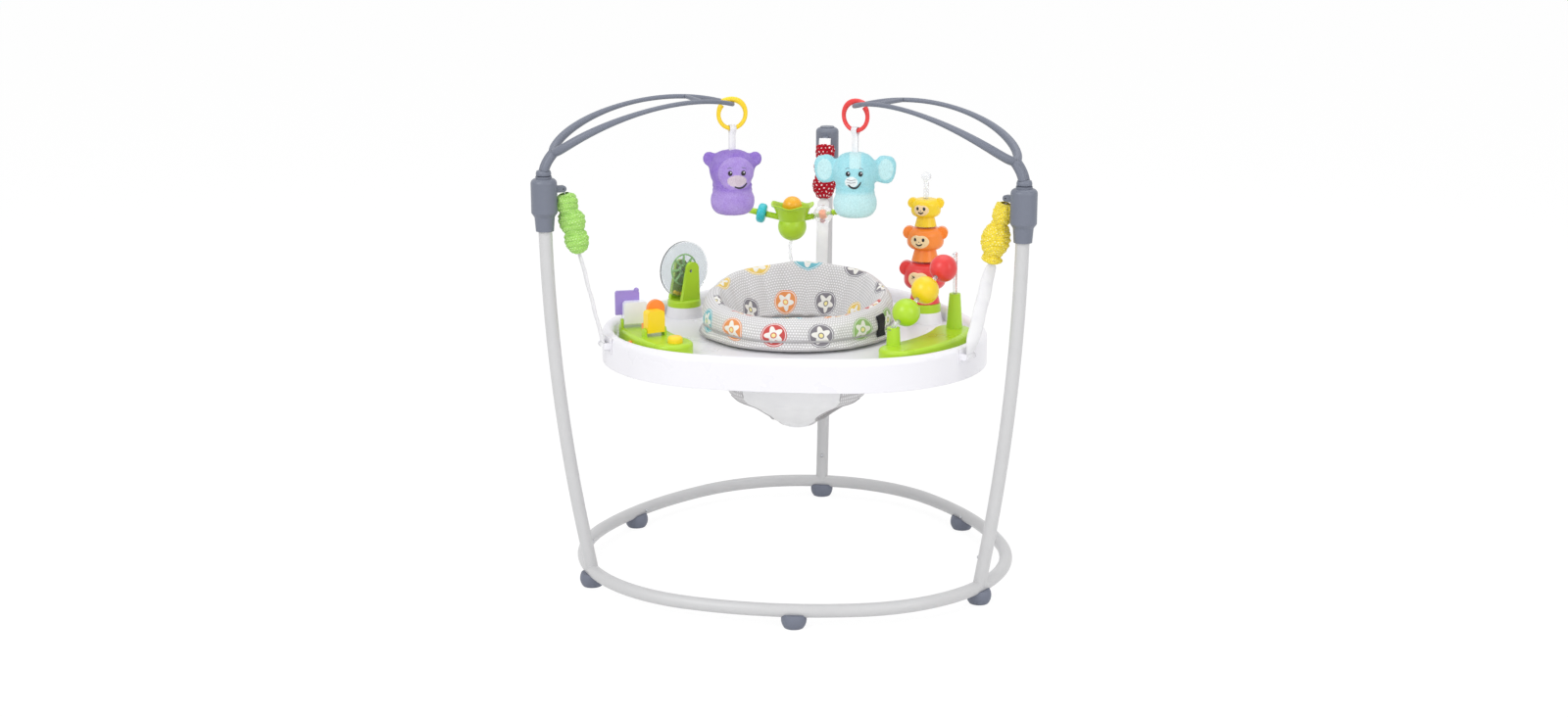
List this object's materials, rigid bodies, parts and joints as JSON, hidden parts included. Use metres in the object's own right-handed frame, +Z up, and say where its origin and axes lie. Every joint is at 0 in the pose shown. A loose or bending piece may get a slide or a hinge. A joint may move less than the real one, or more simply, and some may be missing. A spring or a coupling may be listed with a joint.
{
  "type": "baby activity jumper",
  "caption": "Free-standing baby jumper: tubular stand with sprung straps, bouncing toy tray, swivelling padded fabric seat, toy arms with hanging stuffed toys.",
  "frame": {"origin": "under the middle of the outside box, on the floor plane of the feet", "axes": "+Z up, +Y towards the back leg, +X to the right of someone facing +Y"},
  "size_m": [0.9174, 0.9361, 0.9263],
  "materials": {
    "tube": "satin powder coat",
    "slate": "matt",
    "foot": "matt",
    "steel": "plated",
    "white": "satin",
    "lime": "satin",
    "yellow": "satin",
    "orange": "satin",
    "red": "satin",
    "purple": "satin",
    "teal": "satin",
    "clear": "clear",
    "seat_fabric": "woven",
    "sling_fabric": "woven",
    "webbing": "woven",
    "cover_green": "gathered",
    "cover_yellow": "gathered",
    "cover_red": "gathered",
    "plush_purple": "short pile",
    "plush_aqua": "short pile"
  },
  "bodies": {
    "stand": {"base_tube_left": "tube", "base_tube_right": "tube", "base_tube_back": "tube", "leg_tube_left": "tube", "leg_tube_right": "tube", "leg_tube_back": "tube", "base_feet": "foot", "housing_left": "slate", "housing_right": "slate", "housing_back": "slate", "housing_cap": "slate", "toy_arm_left": "slate", "toy_arm_right": "slate", "springs": "steel", "spring_cover_left": "cover_green", "spring_cover_right": "cover_yellow", "spring_cover_back": "cover_red"},
    "tray": {"tray": "white", "straps": "webbing", "strap_clips": "white", "spinner_base": "lime", "stack_base": "lime", "stack_rod": "clear", "arc_base": "lime", "arc_tube": "clear", "flip_base": "lime"},
    "seat": {"seat_ring": "white", "seat_pad": "seat_fabric", "seat_sling": "sling_fabric"},
    "spinner": {"spinner_disc": "clear", "spinner_beads": "yellow"},
    "flower": {"flower_stalk": "clear", "flower_head": "lime", "flower_dome": "orange"},
    "flip_left": {"flip_white": "white", "flip_purple": "purple"},
    "flip_right": {"flip_yellow": "yellow", "flip_orange": "orange"},
    "bear": {"bear_head": "plush_purple", "bear_body": "plush_purple"},
    "elephant": {"elephant_head": "plush_aqua", "elephant_body": "plush_aqua"},
    "leg_button_left": {"leg_button_left": "steel"},
    "leg_button_right": {"leg_button_right": "steel"},
    "leg_button_back": {"leg_button_back": "steel"},
    "ring_button_front": {"ring_button_front": "steel"},
    "ring_button_right": {"ring_button_right": "steel"},
    "ring_button_left": {"ring_button_left": "steel"},
    "stack_red": {"stack_red": "red"},
    "stack_orange": {"stack_orange": "orange"},
    "stack_yellow": {"stack_yellow": "yellow"},
    "ball_green": {"ball_green": "lime"},
    "ball_yellow": {"ball_yellow": "yellow"},
    "ball_red": {"ball_red": "red"},
    "bead_teal": {"bead_teal": "teal"},
    "bead_clear": {"bead_clear": "clear"},
    "flip_button": {"flip_button": "yellow"},
    "flip_knob": {"flip_knob": "orange"},
    "link_left": {"link_left": "yellow"},
    "link_right": {"link_right": "red"}
  },
  "joints": [
    {"name": "tray_bounce", "type": "slide", "parent": "stand", "child": "tray", "axis": [0, 0, 1], "range_m": [-0.09, 0.04], "stiffness_N_per_m": 1200, "springref_m": 0.0423, "deforming": ["springs", "spring_cover_left", "spring_cover_right", "spring_cover_back"]},
    {"name": "seat_swivel", "type": "hinge", "parent": "tray", "child": "seat", "pos_m": [0, -0.0579, 0.46], "axis": [0, 0, 1], "continuous": true},
    {"name": "spinner_turn", "type": "hinge", "parent": "tray", "child": "spinner", "pos_m": [-0.24289, 0.05536, 0.555], "axis": [-0.7314, 0.682, 0], "continuous": true},
    {"name": "stack_red_turn", "type": "hinge", "parent": "tray", "child": "stack_red", "pos_m": [0.23663, 0.06792, 0.507], "axis": [0, 0, 1], "continuous": true},
    {"name": "stack_orange_turn", "type": "hinge", "parent": "tray", "child": "stack_orange", "pos_m": [0.23663, 0.06792, 0.507], "axis": [0, 0, 1], "continuous": true},
    {"name": "stack_yellow_turn", "type": "hinge", "parent": "tray", "child": "stack_yellow", "pos_m": [0.23663, 0.06792, 0.507], "axis": [0, 0, 1], "continuous": true},
    {"name": "ball_green_turn", "type": "hinge", "parent": "tray", "child": "ball_green", "pos_m": [0.22248, -0.22516, 0.542], "axis": [0.4762, 0.7179, 0.5078], "continuous": true},
    {"name": "ball_yellow_turn", "type": "hinge", "parent": "tray", "child": "ball_yellow", "pos_m": [0.25343, -0.17851, 0.575], "axis": [0.4762, 0.7179, 0.5078], "continuous": true},
    {"name": "ball_red_turn", "type": "hinge", "parent": "tray", "child": "ball_red", "pos_m": [0.28437, -0.13186, 0.608], "axis": [0.4762, 0.7179, 0.5078], "continuous": true},
    {"name": "flower_sway", "type": "hinge", "parent": "tray", "child": "flower", "pos_m": [-0.04414, 0.20309, 0.472], "axis": [0, 1, 0], "range_deg": [-12, 12], "stiffness_Nm_per_rad": 2},
    {"name": "bead_teal_turn", "type": "hinge", "parent": "flower", "child": "bead_teal", "pos_m": [-0.10675, 0.20309, 0.64631], "axis": [-0.9781, 0, 0.2079], "continuous": true},
    {"name": "bead_clear_turn", "type": "hinge", "parent": "flower", "child": "bead_clear", "pos_m": [0.01846, 0.20309, 0.64631], "axis": [0.9781, 0, 0.2079], "continuous": true},
    {"name": "flip_left_rock", "type": "hinge", "parent": "tray", "child": "flip_left", "pos_m": [-0.29688, -0.17186, 0.498], "axis": [-0.9336, -0.3584, 0], "range_deg": [-20, 20]},
    {"name": "flip_right_rock", "type": "hinge", "parent": "tray", "child": "flip_right", "pos_m": [-0.24678, -0.24386, 0.498], "axis": [-0.7986, -0.6018, 0], "range_deg": [-20, 20]},
    {"name": "flip_button_press", "type": "slide", "parent": "tray", "child": "flip_button", "axis": [0, 0, -1], "range_m": [0, 0.004], "stiffness_N_per_m": 300, "springref_m": -0.003},
    {"name": "flip_knob_turn", "type": "hinge", "parent": "tray", "child": "flip_knob", "pos_m": [-0.29018, -0.24634, 0.47], "axis": [-0.8387, -0.5446, 0], "continuous": true},
    {"name": "link_left_swing", "type": "hinge", "parent": "stand", "child": "link_left", "pos_m": [-0.11605, -0.1249, 0.909], "axis": [0.5, -0.866, 0], "range_deg": [-30, 15]},
    {"name": "link_right_swing", "type": "hinge", "parent": "stand", "child": "link_right", "pos_m": [0.11605, -0.1249, 0.909], "axis": [0.5, 0.866, 0], "range_deg": [-30, 15]},
    {"name": "bear_swing", "type": "hinge", "parent": "link_left", "child": "bear", "pos_m": [-0.11605, -0.1249, 0.86355], "axis": [-0.866, -0.5, 0], "range_deg": [-25, 25]},
    {"name": "elephant_swing", "type": "hinge", "parent": "link_right", "child": "elephant", "pos_m": [0.11605, -0.1249, 0.86355], "axis": [0.866, -0.5, 0], "range_deg": [-25, 25]},
    {"name": "leg_button_left_press", "type": "slide", "parent": "stand", "child": "leg_button_left", "axis": [-0.851, -0.4913, -0.1854], "range_m": [0, 0.004], "stiffness_N_per_m": 800, "springref_m": -0.001},
    {"name": "leg_button_right_press", "type": "slide", "parent": "stand", "child": "leg_button_right", "axis": [0.851, -0.4913, -0.1854], "range_m": [0, 0.004], "stiffness_N_per_m": 800, "springref_m": -0.001},
    {"name": "leg_button_back_press", "type": "slide", "parent": "stand", "child": "leg_button_back", "axis": [0, 0.9827, -0.1854], "range_m": [0, 0.004], "stiffness_N_per_m": 800, "springref_m": -0.001},
    {"name": "ring_button_front_press", "type": "slide", "parent": "stand", "child": "ring_button_front", "axis": [0.0353, -0.9994, 0], "range_m": [0, 0.004], "stiffness_N_per_m": 800, "springref_m": -0.001},
    {"name": "ring_button_right_press", "type": "slide", "parent": "stand", "child": "ring_button_right", "axis": [0.8478, 0.5302, 0], "range_m": [0, 0.004], "stiffness_N_per_m": 800, "springref_m": -0.001},
    {"name": "ring_button_left_press", "type": "slide", "parent": "stand", "child": "ring_button_left", "axis": [-0.8831, 0.4691, 0], "range_m": [0, 0.004], "stiffness_N_per_m": 800, "springref_m": -0.001}
  ]
}
